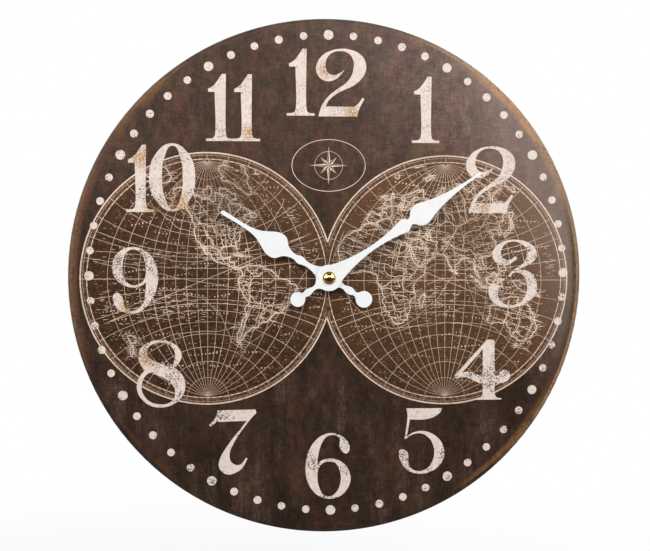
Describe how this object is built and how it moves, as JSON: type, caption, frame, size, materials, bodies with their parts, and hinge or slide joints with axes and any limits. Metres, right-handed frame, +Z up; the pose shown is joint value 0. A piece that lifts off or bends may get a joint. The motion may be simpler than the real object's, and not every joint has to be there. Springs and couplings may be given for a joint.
{
  "type": "wall clock",
  "caption": "Round printed wall clock with two spade hands on a fibreboard dial, driven by a battery quartz movement with a wheel train, setting knob and keyhole hanger.",
  "frame": {"origin": "where the axis of the hands meets the wall, on the back face of the movement's rear cover", "axes": "+Z up towards twelve o'clock, +X towards three o'clock, -Y out of the dial towards the viewer"},
  "size_m": [0.34, 0.0387, 0.34],
  "materials": {
    "fibreboard": "raw medium density fibreboard",
    "printed_skin": "satin printed foil, aged brown",
    "white_lacquer": "white lacquered aluminium",
    "polished_brass": "polished",
    "black_rubber": "matt",
    "case_plastic": "fine moulded grain",
    "gear_plastic": "natural acetal",
    "knob_plastic": "moulded",
    "spring_steel": "bright",
    "magnet": "sintered",
    "copper_wire": "enamelled",
    "board_laminate": "solder mask",
    "cell_jacket": "plain printed sleeve"
  },
  "bodies": {
    "clock_body": {"dial_board": "fibreboard", "dial_print": "printed_skin", "threaded_bush": "polished_brass", "fixing_nut": "polished_brass", "flat_washer": "polished_brass", "rubber_washer": "black_rubber", "case_front": "case_plastic", "rear_cover": "case_plastic", "middle_plate": "gear_plastic", "stator": "spring_steel", "coil_core": "spring_steel", "coil_bobbin": "gear_plastic", "coil_winding": "copper_wire", "circuit_board": "board_laminate", "quartz_crystal": "spring_steel", "contact_negative": "spring_steel", "contact_positive": "spring_steel", "hanger_hook": "spring_steel"},
    "minute_body": {"minute_hand": "white_lacquer", "cap_nut": "polished_brass", "minute_pipe": "polished_brass"},
    "hour_body": {"hour_hand": "white_lacquer", "hour_wheel": "gear_plastic"},
    "minute_wheel_body": {"minute_wheel": "gear_plastic"},
    "setting_body": {"setting_knob": "knob_plastic"},
    "second_body": {"second_wheel": "gear_plastic"},
    "fifth_body": {"fifth_wheel": "gear_plastic"},
    "rotor_body": {"rotor_pinion": "gear_plastic", "rotor_magnet": "magnet"},
    "third_body": {"third_wheel": "gear_plastic"},
    "centre_body": {"centre_wheel": "gear_plastic"},
    "battery_body": {"battery": "cell_jacket"}
  },
  "joints": [
    {"name": "minute_spin", "type": "hinge", "parent": "clock_body", "child": "minute_body", "pos_m": [0, 0, 0], "axis": [0, 1, 0], "continuous": true},
    {"name": "hour_spin", "type": "hinge", "parent": "clock_body", "child": "hour_body", "pos_m": [0, 0, 0], "axis": [0, 1, 0], "continuous": true},
    {"name": "minute_wheel_spin", "type": "hinge", "parent": "clock_body", "child": "minute_wheel_body", "pos_m": [0.0096, 0, 0], "axis": [0, 1, 0], "continuous": true},
    {"name": "setting_knob_spin", "type": "hinge", "parent": "clock_body", "child": "setting_body", "pos_m": [0.01577, 0, 0.00735], "axis": [0, 1, 0], "continuous": true},
    {"name": "second_spin", "type": "hinge", "parent": "clock_body", "child": "second_body", "pos_m": [0, 0, 0], "axis": [0, 1, 0], "continuous": true},
    {"name": "fifth_spin", "type": "hinge", "parent": "clock_body", "child": "fifth_body", "pos_m": [0.0045, 0, 0.00779], "axis": [0, 1, 0], "continuous": true},
    {"name": "rotor_spin", "type": "hinge", "parent": "clock_body", "child": "rotor_body", "pos_m": [0.00557, 0, 0.01386], "axis": [0, 1, 0], "continuous": true},
    {"name": "third_spin", "type": "hinge", "parent": "clock_body", "child": "third_body", "pos_m": [-0.00648, 0, 0.00772], "axis": [0, 1, 0], "continuous": true},
    {"name": "centre_spin", "type": "hinge", "parent": "clock_body", "child": "centre_body", "pos_m": [0, 0, 0], "axis": [0, 1, 0], "continuous": true},
    {"name": "battery_lift", "type": "slide", "parent": "clock_body", "child": "battery_body", "axis": [0, 1, 0], "range_m": [0, 0.02]}
  ],
  "couplings": [
    {"joint": "hour_spin", "follows": "minute_spin", "ratio": 0.083333},
    {"joint": "minute_wheel_spin", "follows": "minute_spin", "ratio": -0.33333},
    {"joint": "setting_knob_spin", "follows": "minute_spin", "ratio": 1},
    {"joint": "fifth_spin", "follows": "second_spin", "ratio": -5},
    {"joint": "rotor_spin", "follows": "second_spin", "ratio": 30},
    {"joint": "third_spin", "follows": "second_spin", "ratio": -0.13333},
    {"joint": "centre_spin", "follows": "second_spin", "ratio": 0.016667}
  ]
}
